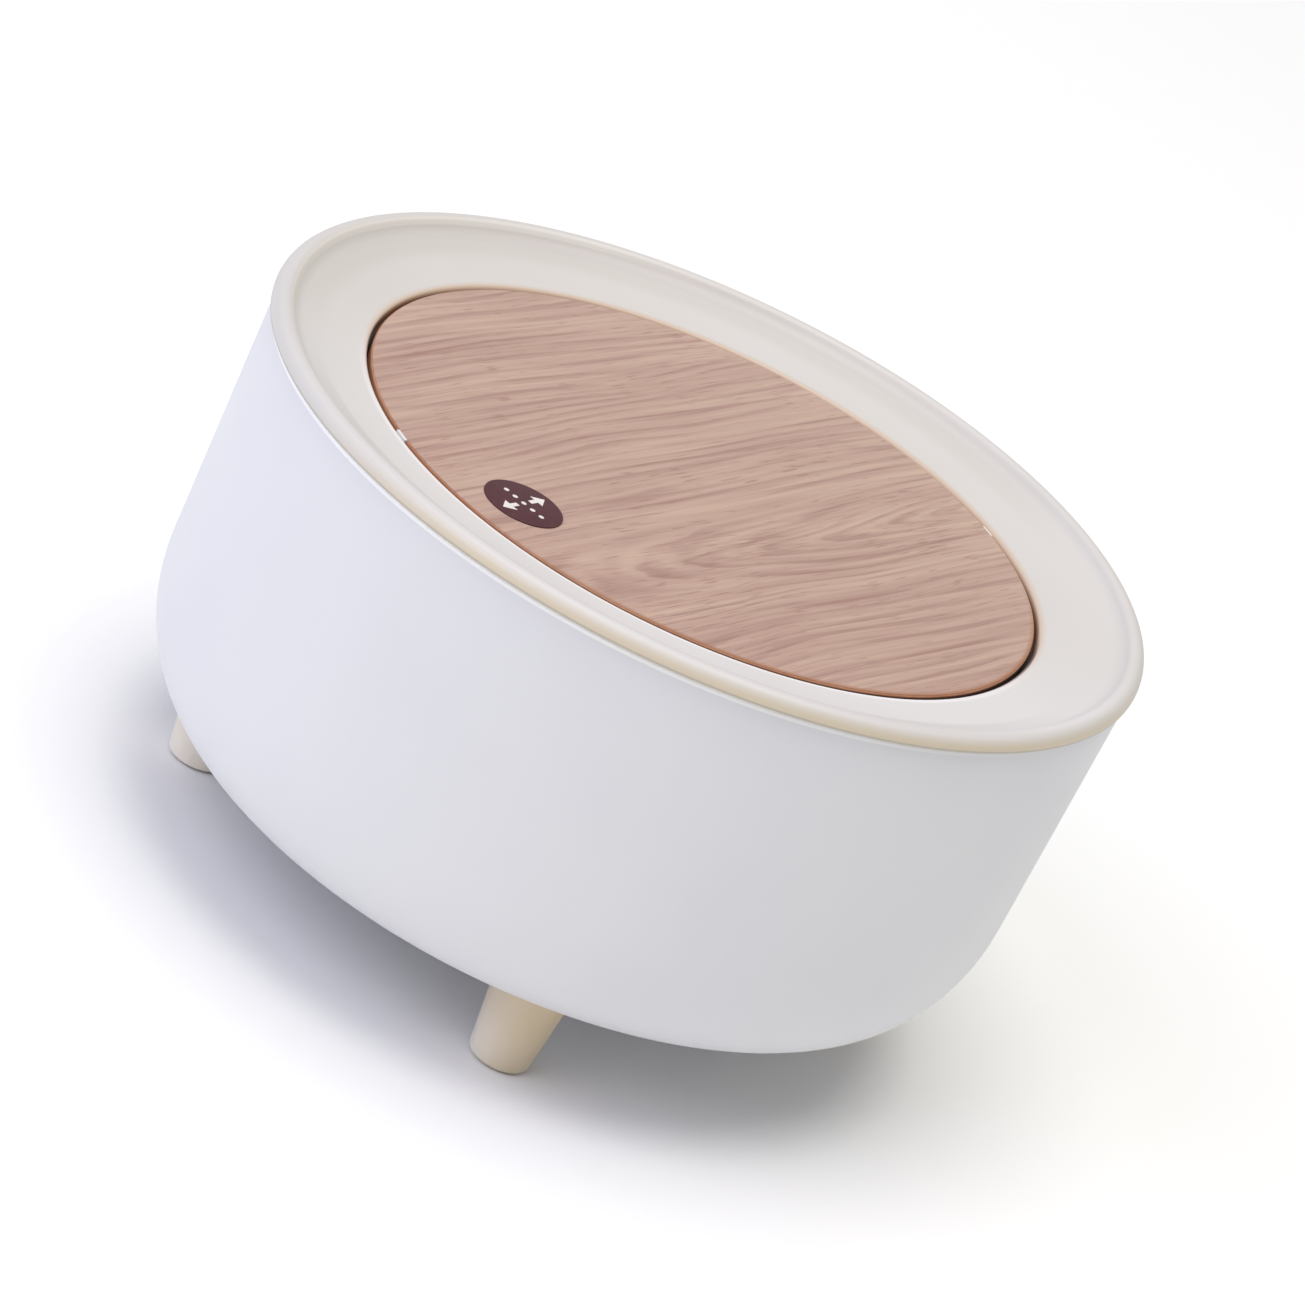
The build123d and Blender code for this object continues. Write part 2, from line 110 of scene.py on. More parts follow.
class Graph:
    """A material's node tree, built one node at a time."""

    def __init__(self, name: str) -> None:
        """Starts a node material.

        Args:
            name: The material's name.
        """
        self.material = bpy.data.materials.new(name)
        self.material.use_nodes = True
        self.tree = self.material.node_tree
        self.shader = self.tree.nodes["Principled BSDF"]

    def add(self, kind: str, inputs: dict, **settings: object) -> bpy.types.Node:
        """Adds a node.

        Args:
            kind: The node's type, without the leading ShaderNode.
            inputs: Numbers, colours or other nodes' sockets, by input name or place.
            settings: The node's own options.

        Returns:
            The node.
        """
        node = self.tree.nodes.new("ShaderNode" + kind)
        for name, value in settings.items():
            setattr(node, name, value)
        for name, value in inputs.items():
            self.give(node.inputs[name], value)
        return node

    def give(self, socket: Socket, value: object) -> None:
        """Links an input, or sets its number or colour.

        Args:
            socket: The input.
            value: Another node's socket, a number or a colour.
        """
        if isinstance(value, Socket):
            self.tree.links.new(value, socket)
        else:
            socket.default_value = value

    def math(self, operation: str, *values: object) -> Socket:
        """The result of a Math node, from numbers or sockets."""
        return self.add("Math", dict(enumerate(values)), operation=operation).outputs[0]

    def place(self, angle: float = 0.0) -> Socket:
        """Object coordinates, turned about Z.

        Args:
            angle: The direction that becomes the pattern's own X, in degrees from the object's X.

        Returns:
            The coordinates.
        """
        place = self.add("TexCoord", {}).outputs["Object"]
        turn = {"Vector": place, "Rotation": (0, 0, math.radians(angle))}
        return self.add("Mapping", turn, vector_type="TEXTURE").outputs[0]

    def split(self, vector: Socket) -> Sequence[Socket]:
        """A vector's three coordinates."""
        return self.add("SeparateXYZ", {0: vector}).outputs

    def toward(self, bearing: float) -> Socket:
        """How far a point lies from the axis towards a bearing."""
        return self.split(self.place(bearing))[0]

    def stretched(self, vector: Socket, factors: Sequence[float]) -> Socket:
        """Coordinates, each multiplied by its own factor."""
        return self.add("VectorMath", {0: vector, 1: factors}, operation="MULTIPLY").outputs[0]

    def radius(self) -> Socket:
        """How far a point lies from the axis."""
        flat = self.stretched(self.place(), (1, 1, 0))
        return self.add("VectorMath", {0: flat}, operation="LENGTH").outputs["Value"]

    def noise(self, vector: Socket, scale: float, detail: float = 2, roughness: float = 0.5) -> Socket:
        """A noise from about 0 to 1, with so many features per metre."""
        inputs = {"Vector": vector, "Scale": scale, "Detail": detail, "Roughness": roughness}
        return self.add("TexNoise", inputs).outputs["Fac"]

    def window(self, value: Socket, low: float, high: float, bottom: float = 0, top: float = 1) -> Socket:
        """Turns a value smoothly from bottom at low into top at high, and clamps it there."""
        inputs = {"Value": value, "From Min": low, "From Max": high, "To Min": bottom, "To Max": top}
        return self.add("MapRange", inputs, interpolation_type="SMOOTHSTEP").outputs[0]

    def ramp(self, value: Socket, stops: Sequence[tuple[float, Colour]]) -> Socket:
        """Colours a value.

        Args:
            value: The value.
            stops: Places from 0 to 1 with their colours, in order.

        Returns:
            The colour.
        """
        node = self.add("ValToRGB", {"Fac": value})
        elements = node.color_ramp.elements
        while len(elements) < len(stops):
            elements.new(0.5)
        for element, (place, colour) in zip(elements, stops):
            element.position = place
            element.color = linear(colour)
        return node.outputs[0]

    def mix(self, share: object, first: object, second: object) -> Socket:
        """Mixes two colours. The share is how much of the second is taken."""
        inputs = {0: share, MIX_FIRST: first, MIX_SECOND: second}
        return self.add("Mix", inputs, data_type="RGBA").outputs[MIX_RESULT]

    def surface(self, **values: object) -> None:
        """Sets or links the shader's inputs, by name with underscores for spaces."""
        for name, value in values.items():
            self.give(self.shader.inputs[name.replace("_", " ")], value)

    def relief(self, height: Socket, depth: float, strength: float = 1.0) -> None:
        """Gives the surface a fine relief of a depth in metres."""
        bump = self.add("Bump", {"Height": height, "Distance": depth, "Strength": strength})
        self.surface(Normal=bump.outputs[0])


@dataclass(frozen=True)
class PaintedLight:
    """A ring-shaped zone of painted light or shade, all round or on one side. Its lengths are in
    millimetres.
    """

    colour: Colour
    inner: float
    outer: float
    facing: float | None = None
    side: Point = (-50, 10)
    top: float | None = None
    bottom: float | None = None
    edge: float = 0.8
    fade: float = 1.6

    def tint(self, graph: Graph, colour: Socket, radius: Socket, height: Socket) -> Socket:
        """Paints light or shade into a colour inside the zone.

        Args:
            graph: The material.
            colour: The plain colour.
            radius: The distance from the axis.
            height: The height.

        Returns:
            The colour with the light or shade painted in.
        """
        zones = [
            (radius, self.inner - self.edge, self.inner, 0.0, 1.0),
            (radius, self.outer, self.outer + self.edge, 1.0, 0.0),
        ]
        if self.top is not None:
            zones.append((height, self.top - self.fade, self.top, 1.0, 0.0))
        if self.bottom is not None:
            zones.append((height, self.bottom, self.bottom + self.fade, 0.0, 1.0))
        if self.facing is not None:
            zones.append((graph.toward(self.facing), *self.side, 0.0, 1.0))
        share = 1.0
        for value, low, high, before, after in zones:
            share = graph.math("MULTIPLY", share, graph.window(value, low * MM, high * MM, before, after))
        return graph.mix(share, colour, linear(self.colour))


@dataclass(frozen=True)
class Grain:
    """A noise: its features' size, its octaves, how much the finer ones weigh, and the range that shows."""

    size: float
    detail: float = 2
    harshness: float = 0.5
    span: Point = (0.3, 0.7)

    def plain(self, graph: Graph, place: Socket) -> Socket:
        """The noise, from about 0 to 1."""
        return graph.noise(place, 1 / self.size, self.detail, self.harshness)

    def shown(self, graph: Graph, place: Socket, low: float = 0.0, high: float = 1.0) -> Socket:
        """The noise, turned smoothly from low into high over its range."""
        return graph.window(self.plain(graph, place), *self.span, low, high)


@dataclass(frozen=True)
class Finish:
    """A surface: two colours that a noise mixes, and noises for its gloss and its relief."""

    name: str
    low: Colour
    high: Colour
    roughness: float
    clouds: Grain
    skin: Grain
    skin_depth: float
    smears: Grain | None = None
    gloss: Point = (1.0, 1.0)
    metallic: float = 0.0
    specular: float = 0.5
    turn: float = 0.0
    pull: Point3 = (1, 1, 1)

    def marked(self, graph: Graph, place: Socket, colour: Socket) -> Socket:
        """The colour with what lies on it, which is nothing here."""
        return colour

    def material(self) -> bpy.types.Material:
        """Makes the finished node material.

        Returns:
            The material.
        """
        graph = Graph(self.name)
        place = graph.place(self.turn)
        pulled = graph.stretched(place, self.pull)
        colour = graph.mix(self.clouds.shown(graph, place), linear(self.low), linear(self.high))
        rough = self.roughness
        if self.smears:
            rough = self.smears.shown(graph, pulled, *(self.roughness * share for share in self.gloss))
        graph.surface(Base_Color=self.marked(graph, place, colour), Roughness=rough)
        graph.surface(Metallic=self.metallic, Specular_IOR_Level=self.specular)
        graph.relief(self.skin.plain(graph, pulled), self.skin_depth)
        return graph.material


@dataclass(frozen=True)
class Plastic(Finish):
    """Moulded plastic: a faint cloudiness, a fine skin, uneven gloss, some specks, and zones of painted
    light and shade.
    """

    roughness: float = 0.42
    clouds: Grain = Grain(55 * MM)
    smears: Grain = Grain(36.67 * MM)
    skin: Grain = Grain(0.4 * MM, 1)
    skin_depth: float = 0.001 * MM
    gloss: Point = (0.92, 1.1)
    speck_spacing: float = 21 * MM
    speck_radii: Point = (0.16 * MM, 0.288 * MM)
    speck_colour: Colour = (176, 174, 172)
    speck_share: float = 0.0
    # Zones of painted light and shade.
    painted_light: tuple[PaintedLight, ...] = ()

    def marked(self, graph: Graph, place: Socket, colour: Socket) -> Socket:
        """Paints light and shade into the zones and adds the specks.

        Args:
            graph: The material.
            place: The coordinates.
            colour: The plain colour.

        Returns:
            The marked colour.
        """
        # Each zone paints light or shade into the colour.
        if self.painted_light:
            radius, height = graph.radius(), graph.split(place)[2]
            for painted_zone in self.painted_light:
                colour = painted_zone.tint(graph, colour, radius, height)
        if self.speck_share:
            cells = graph.add("TexVoronoi", {"Vector": place, "Scale": 1 / self.speck_spacing})
            near = graph.math("MULTIPLY", cells.outputs["Distance"], self.speck_spacing)
            tint = graph.add("SeparateColor", {0: cells.outputs["Color"]}).outputs[0]
            few = graph.math("LESS_THAN", tint, self.speck_share)
            share = graph.math("MULTIPLY", graph.window(near, *self.speck_radii, 1.0, 0.0), few)
            colour = graph.mix(share, colour, linear(self.speck_colour))
        return colour


@dataclass(frozen=True)
class Film(Finish):
    """A smooth printed film, such as a label, or the ink on it."""

    roughness: float = 0.38
    clouds: Grain = Grain(2 * MM, 4, 0.6)
    smears: Grain = Grain(2 * MM, 4, 0.6, (0.2, 0.8))
    skin: Grain = Grain(0.5 * MM)
    skin_depth: float = 0.006 * MM
    gloss: Point = (0.9, 1.15)


@dataclass(frozen=True)
class Steel(Finish):
    """Plated or raw steel with fine scratches and a slight stain."""

    roughness: float = 0.3
    clouds: Grain = Grain(6.25 * MM, 3, 0.5, (0.4, 0.75))
    smears: Grain = Grain(0.25 * MM, 3, 0.65, (0.2, 0.8))
    skin: Grain = Grain(0.25 * MM, 3, 0.65)
    skin_depth: float = 0.01 * MM
    gloss: Point = (0.8, 1.4)
    metallic: float = 1.0
    turn: float = 18.0
    pull: Point3 = (0.08, 1, 1)


@dataclass(frozen=True)
class Rubber(Finish):
    """Matt rubber with a fine dusty grain."""

    roughness: float = 0.75
    clouds: Grain = Grain(2.381 * MM, 4, 0.6, (0.45, 0.8))
    skin: Grain = Grain(0.3846 * MM)
    skin_depth: float = 0.03 * MM


@dataclass(frozen=True)
class Streaks:
    """Long streaks in a wood print: their length and width, how much they weigh, and their octaves."""

    length: float
    width: float
    weight: float = 1.0
    detail: float = 0

    def noise(self, graph: Graph, place: Socket) -> Socket:
        """The streaks, from about 0 to 1, along the coordinates' X."""
        return graph.noise(graph.stretched(place, (1 / self.length, 1 / self.width, 1)), 1.0, self.detail)


@dataclass(frozen=True)
class WoodPrint:
    """A straight-grained wood film: fine lines, fibres and open pores, with one narrow figure of arches."""

    name: str = "wood_film"
    roughness: float = 0.5
    gloss: Point = (1.1, 0.9)
    grain_turn: float = 23.6
    sway: float = 9 * MM
    sway_rate: Point3 = (9, 20, 1)
    arch_place: float = -21.5 * MM
    arch_width: float = 6.0 * MM
    arch_round: float = 1.2 * MM
    arch_slope: float = 0.15
    side_slice: float = 30 * MM
    side_shift: float = 6.0
    ring_pitch: float = 3.3 * MM
    ring_start: float = 0.55
    ring_rise: Point = (0.3, 0.86)
    ring_end: Point = (0.88, 1.0)
    ring_weight: float = -0.42
    drift: Streaks = Streaks(110 * MM, 17 * MM, 3.2, 1)
    fading: Streaks = Streaks(48 * MM, 4.5 * MM, detail=1)
    fading_range: Point = (0.34, 0.62)
    faintest: float = 0.1
    bands: Streaks = Streaks(150 * MM, 10 * MM, 0.6)
    fine: Streaks = Streaks(48 * MM, 1.0 * MM, 0.6)
    fibres: Streaks = Streaks(22 * MM, 0.5 * MM, 0.45, 1)
    pores: Streaks = Streaks(8 * MM, 0.42 * MM)
    pore_range: Point = (0.5, 0.6)
    pore_depth: float = 0.02 * MM
    pore_relief: float = 0.6
    pore_colour: Colour = (150, 114, 100)
    pore_share: float = 0.5
    crowd_rate: Point3 = (14, 60, 1)
    crowd_weight: float = -0.35
    # Painted shade: the film's rim is tinted orange-brown and darker on one side only, next to the gap.
    edge_shade_colour: Colour = (166, 114, 80)
    edge_shade_radii: Point = (74.7 * MM, 75.6 * MM)
    edge_shade_share: float = 0.75
    edge_shade_facing: float = 275.0
    edge_shade_side: Point = (12 * MM, 65 * MM)
    tone_start: float = -0.21
    # Painted shade and light: the print is darker towards one side and lighter towards the other.
    shade_fall_facing: float = 222.6
    shade_fall: float = -2.0
    stops: tuple[tuple[float, Colour], ...] = (
        (0.0, (160, 125, 114)),
        (0.3, (174, 142, 130)),
        (0.6, (187, 157, 142)),
        (1.0, (200, 173, 154)),
    )

    def grain(self, graph: Graph) -> tuple[Socket, Socket]:
        """The pattern's own coordinates.

        Args:
            graph: The material.

        Returns:
            Those of the rings and those of the fibres, with X along the grain, Y across it, and a Z
            that differs from one side of the arches to the other.
        """
        place = graph.place(self.grain_turn)
        along, across, _ = graph.split(place)
        sway = graph.noise(graph.stretched(place, self.sway_rate), 1.0, 1)
        across = graph.math("MULTIPLY_ADD", graph.math("SUBTRACT", sway, 0.5), self.sway, across)
        side = graph.math("SUBTRACT", across, self.arch_place)
        square = graph.math("MULTIPLY", side, side)
        lens = graph.math("DIVIDE", self.arch_width ** 2, graph.math("ADD", square, self.arch_width ** 2))
        rise = graph.math("MULTIPLY", graph.math("MULTIPLY", along, self.arch_slope), lens)
        arch = graph.math("SQRT", graph.math("ADD", square, self.arch_round ** 2))
        half = graph.window(side, -self.side_slice, self.side_slice, 0.0, self.side_shift)
        rings, fibres = (
            graph.add("CombineXYZ", {0: along, 1: width, 2: half}).outputs[0]
            for width in (graph.math("SUBTRACT", arch, rise), across)
        )
        return rings, fibres

    def growth(self, graph: Graph, rings: Socket) -> Socket:
        """The growth rings: each darkens slowly and ends at a sharper line, and some fade out.

        Args:
            graph: The material.
            rings: The coordinates that the rings follow.

        Returns:
            The rings' darkness, from 0 to 1.
        """
        drift = self.drift.noise(graph, rings)
        offset = graph.math("MULTIPLY_ADD", drift, self.drift.weight, self.ring_start)
        count = graph.math("MULTIPLY_ADD", graph.split(rings)[1], 1 / self.ring_pitch, offset)
        phase = graph.math("FRACT", count)
        rise, end = graph.window(phase, *self.ring_rise), graph.window(phase, *self.ring_end, 1.0, 0.0)
        strength = graph.window(self.fading.noise(graph, rings), *self.fading_range, self.faintest, 1.0)
        return graph.math("MULTIPLY", graph.math("MULTIPLY", rise, end), strength)

    def material(self) -> bpy.types.Material:
        """Makes the finished node material.

        Returns:
            The material.
        """
        graph = Graph(self.name)
        rings, fibre = self.grain(graph)
        # The tone starts with painted shade and light that change across the face.
        tone = graph.math("MULTIPLY_ADD", graph.toward(self.shade_fall_facing), self.shade_fall, self.tone_start)
        for streaks, place in ((self.bands, rings), (self.fine, rings), (self.fibres, fibre)):
            tone = graph.math("MULTIPLY_ADD", streaks.noise(graph, place), streaks.weight, tone)
        tone = graph.math("MULTIPLY_ADD", self.growth(graph, rings), self.ring_weight, tone)
        crowd = graph.noise(graph.stretched(graph.place(self.grain_turn), self.crowd_rate), 1.0, 1)
        pores = graph.math("MULTIPLY_ADD", crowd, self.crowd_weight, self.pores.noise(graph, fibre))
        dash = graph.window(pores, *self.pore_range)
        dark = graph.math("MULTIPLY", dash, self.pore_share)
        colour = graph.mix(dark, graph.ramp(tone, self.stops), linear(self.pore_colour))
        # Painted shade along the film's rim on one side.
        rim = graph.window(graph.radius(), *self.edge_shade_radii, 0.0, self.edge_shade_share)
        rim = graph.math("MULTIPLY", rim, graph.window(graph.toward(self.edge_shade_facing), *self.edge_shade_side))
        gloss = graph.window(tone, 0, 1, *(self.roughness * share for share in self.gloss))
        graph.surface(Base_Color=graph.mix(rim, colour, linear(self.edge_shade_colour)), Roughness=gloss)
        graph.relief(graph.math("SUBTRACT", 1.0, dash), self.pore_depth, self.pore_relief)
        return graph.material


@dataclass(frozen=True)
class BoardEdge:
    """The board's cut edge: pressed fibres under a brown stain, with painted shade low down on one side."""

    name: str = "stained_edge"
    roughness: float = 0.5
    light: Colour = (184, 132, 100)
    dark: Colour = (162, 108, 74)
    stain_range: Point = (0.35, 0.65)
    fibre: Grain = Grain(1.75 * MM, 4, 0.7)
    fibre_squeeze: Point3 = (1, 1, 6)
    fibre_share: float = 0.6
    fibre_depth: float = 0.01 * MM
    blotch: Grain = Grain(11.11 * MM, 3)
    # Painted shade: the edge turns near black low down on one side, where the gap lies in shadow.
    deep: Colour = (66, 34, 20)
    gap_shade_heights: Point = (103.5 * MM, 104.1 * MM)
    gap_shade_facing: float = 275.0
    gap_shade_side: Point = (12 * MM, 60 * MM)

    def material(self) -> bpy.types.Material:
        """Makes the finished node material.

        Returns:
            The material.
        """
        graph = Graph(self.name)
        place = graph.place()
        fibres = self.fibre.plain(graph, graph.stretched(place, self.fibre_squeeze))
        blotches = graph.math("MULTIPLY", self.blotch.plain(graph, place), 1 - self.fibre_share)
        tone = graph.math("ADD", graph.math("MULTIPLY", fibres, self.fibre_share), blotches)
        stain = graph.mix(graph.window(tone, *self.stain_range), linear(self.dark), linear(self.light))
        # Painted shade, low down on one side of the edge.
        low = graph.window(graph.split(place)[2], *self.gap_shade_heights, 1.0, 0.0)
        low = graph.math("MULTIPLY", low, graph.window(graph.toward(self.gap_shade_facing), *self.gap_shade_side))
        graph.surface(Base_Color=graph.mix(low, stain, linear(self.deep)), Roughness=self.roughness)
        graph.relief(fibres, self.fibre_depth)
        return graph.material


@dataclass
class Corner:
    """A corner of an outline that is turned about Z: its radius, its height and how far it is rounded."""

    radius: float
    height: float
    round: float = 0.0


def rounded(corners: Sequence[Corner], steps: int = 6) -> Profile:
    """An outline with its corners rounded by arcs.

    Args:
        corners: The corners in order. The first and last stay sharp.
        steps: Straight pieces in each arc.

    Returns:
        The outline's points, as radius and height.
    """
    outline = [(corners[0].radius, corners[0].height)]
    for before, corner, after in zip(corners, corners[1:], corners[2:]):
        here = Vector((corner.radius, corner.height))
        if not corner.round:
            outline.append(tuple(here))
            continue
        back = (Vector((before.radius, before.height)) - here).normalized()
        ahead = (Vector((after.radius, after.height)) - here).normalized()
        half = back.angle(ahead) / 2
        middle = here + (back + ahead).normalized() * corner.round / math.sin(half)
        start = here + back * corner.round / math.tan(half) - middle
        sweep = start.angle_signed(here + ahead * corner.round / math.tan(half) - middle)
        for step in range(steps + 1):
            spoke = start.copy()
            spoke.rotate(Matrix.Rotation(-sweep * step / steps, 2))
            outline.append(tuple(middle + spoke))
    outline.append((corners[-1].radius, corners[-1].height))
    return outline


def elliptic(centre: Point, radii: Point, start: float, end: float, steps: int) -> Profile:
    """Part of an ellipse between two angles in degrees, in so many straight pieces."""
    angles = [math.radians(start + (end - start) * step / steps) for step in range(steps + 1)]
    return [(centre[0] + radii[0] * math.cos(a), centre[1] + radii[1] * math.sin(a)) for a in angles]


def clear() -> None:
    """Leaves edit mode and selects nothing."""
    if bpy.context.mode != "OBJECT":
        bpy.ops.object.mode_set(mode="OBJECT")
    bpy.ops.object.select_all(action="DESELECT")


def take(piece: Piece) -> None:
    """Selects one object alone and makes it active.

    Args:
        piece: The object.
    """
    clear()
    piece.select_set(True)
    bpy.context.view_layer.objects.active = piece


def named(name: str) -> Piece:
    """Names the object in hand and puts its place, turn and size into its mesh.

    Args:
        name: Its name.

    Returns:
        The object.
    """
    bpy.ops.object.transform_apply(location=True, rotation=True, scale=True)
    piece = bpy.context.object
    piece.name = piece.data.name = name
    return piece


def turned(name: str, outline: Profile, steps: int, spot: Sequence[float] = (0, 0)) -> Piece:
    """Turns an outline about Z, as on a lathe.

    Args:
        name: The piece's name.
        outline: Its outline, as radius and height.
        steps: Segments round the piece.
        spot: Where its axis stands.

    Returns:
        The piece.
    """
    clear()
    bpy.ops.mesh.primitive_plane_add(size=MM)
    piece = named(name)
    bpy.ops.object.mode_set(mode="EDIT")
    bpy.ops.mesh.select_mode(type="VERT")
    bpy.ops.mesh.select_all(action="SELECT")
    bpy.ops.mesh.merge(type="CENTER")
    bpy.ops.transform.translate(value=(outline[0][0], 0, outline[0][1]))
    for (radius, height), (next_radius, next_height) in zip(outline, outline[1:]):
        step = (next_radius - radius, 0, next_height - height)
        bpy.ops.mesh.extrude_vertices_move(TRANSFORM_OT_translate={"value": step})
    bpy.ops.mesh.select_all(action="SELECT")
    bpy.ops.mesh.spin(steps=steps, angle=math.tau, center=(0, 0, 0), axis=(0, 0, 1))
    bpy.ops.mesh.select_all(action="SELECT")
    bpy.ops.mesh.remove_doubles(threshold=MERGE)
    bpy.ops.mesh.normals_make_consistent(inside=False)
    bpy.ops.transform.translate(value=(spot[0], spot[1], 0))
    bpy.ops.object.mode_set(mode="OBJECT")
    return piece


def disc(
    name: str, radius: float, heights: Point, rounds: Point,
    steps: int = 256, spot: Sequence[float] = (0, 0), arc_steps: int = 4,
) -> Piece:
    """Turns a flat disc.

    Args:
        name: The disc's name.
        radius: Its radius.
        heights: The heights of its lower and its upper face.
        rounds: How far its lower and its upper edge are rounded.
        steps: Segments round the disc.
        spot: Where its axis stands.
        arc_steps: Straight pieces in each round.

    Returns:
        The disc.
    """
    low, high = heights
    rim = [Corner(radius, low, rounds[0]), Corner(radius, high, rounds[1])]
    return turned(name, rounded([Corner(0, low), *rim, Corner(0, high)], arc_steps), steps, spot)


def rod(radius: float, low: float, high: float, spot: Sequence[float], vertices: int = 64) -> Piece:
    """A short upright rod, to cut with or to add.

    Args:
        radius: Its radius.
        low: Its lower end.
        high: Its upper end.
        spot: Where its axis stands.
        vertices: Sides.

    Returns:
        The rod.
    """
    clear()
    place = (spot[0], spot[1], (low + high) / 2)
    bpy.ops.mesh.primitive_cylinder_add(
        radius=radius, depth=high - low, location=place, vertices=vertices
    )
    return named("rod")


def block(low: Sequence[float], high: Sequence[float]) -> Piece:
    """A block between two corners, to cut with or to add.

    Args:
        low: Its lowest corner.
        high: Its highest corner.

    Returns:
        The block.
    """
    clear()
    place = [(a + b) / 2 for a, b in zip(low, high)]
    scale = [b - a for a, b in zip(low, high)]
    bpy.ops.mesh.primitive_cube_add(size=1, location=place, scale=scale)
    return named("block")


def joined(piece: Piece, tool: Piece, join: Join) -> None:
    """Adds a tool's shape to a piece, cuts it out, or keeps only what both share.

    Args:
        piece: The piece.
        tool: The tool, which is used up.
        join: Which of these.
    """
    take(piece)
    bpy.ops.object.modifier_add(type="BOOLEAN")
    modifier = piece.modifiers[-1]
    modifier.object = tool
    modifier.operation = join.value
    modifier.solver = "EXACT"
    bpy.ops.object.modifier_apply(modifier=modifier.name)
    bpy.data.objects.remove(tool, do_unlink=True)


def choose_edges(piece: Piece, test: Callable[[bmesh.types.BMEdge], bool]) -> None:
    """Selects in edit mode the edges that pass a test, and nothing else.

    Args:
        piece: The piece.
        test: The test.
    """
    take(piece)
    bpy.ops.object.mode_set(mode="EDIT")
    bpy.ops.mesh.select_mode(type="EDGE")
    bpy.ops.mesh.select_all(action="DESELECT")
    mesh = bmesh.from_edit_mesh(piece.data)
    for edge in mesh.edges:
        edge.select = test(edge)
    mesh.select_flush_mode()
    bmesh.update_edit_mesh(piece.data)


def coat(piece: Piece, material: bpy.types.Material) -> None:
    """Gives a piece its material."""
    piece.data.materials.clear()
    piece.data.materials.append(material)


def hand_over(
    piece: Piece, material: bpy.types.Material, body: Body, slot: Slot | None, *nodes: str
) -> None:
    """Finishes a piece, and lets it ride on its body and stand for the nodes that it replaces.

    Args:
        piece: The piece.
        material: Its material.
        body: Its body.
        slot: Not used. The material slot that it would take its finish from, or None if the record has none
            for it.
        nodes: The nodes that it replaces.
    """
    coat(piece, material)
    take(piece)
    bpy.ops.object.shade_smooth_by_angle(angle=SMOOTH_ANGLE)
    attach(piece, body.value)
    if nodes:
        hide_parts(*nodes)
    log.info("%s: %d faces on %s", piece.name, len(piece.data.polygons), body.value)


def dress(nodes: Iterable[str], material: bpy.types.Material) -> None:
    """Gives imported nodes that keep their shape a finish.

    Args:
        nodes: The nodes' names.
        material: The finish.
    """
    for name in nodes:
        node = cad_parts[name]
        coat(node, material)
        for face in node.data.polygons:
            face.material_index = 0
        log.info("%s: packed shape in %s", name, material.name)


def meeting(first: Point, first_reach: float, second: Point, second_reach: float) -> Point:
    """The point at given distances from two others, to the left of the way from the first to the second.

    Args:
        first: A point.
        first_reach: The distance from it.
        second: Another point.
        second_reach: The distance from that one.

    Returns:
        The point.
    """
    start, way = Vector(first), Vector(second) - Vector(first)
    along = (way.length_squared + first_reach ** 2 - second_reach ** 2) / (2 * way.length)
    aside = math.sqrt(first_reach ** 2 - along ** 2)
    ahead = way.normalized()
    return tuple(start + ahead * along + Vector((-ahead.y, ahead.x)) * aside)


def heading(start: Point, end: Point) -> float:
    """The direction from one point of an outline to another, in degrees."""
    return math.degrees(math.atan2(end[1] - start[1], end[0] - start[0]))


def middle_of(node: str) -> Vector:
    """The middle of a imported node's box."""
    low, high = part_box(node)
    return (low + high) / 2


def reach_of(node: str) -> float:
    """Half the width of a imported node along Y, which for a round one is its radius, to 0.1 mm."""
    low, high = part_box(node)
    return round((high.y - low.y) / 2 / MM, 1) * MM


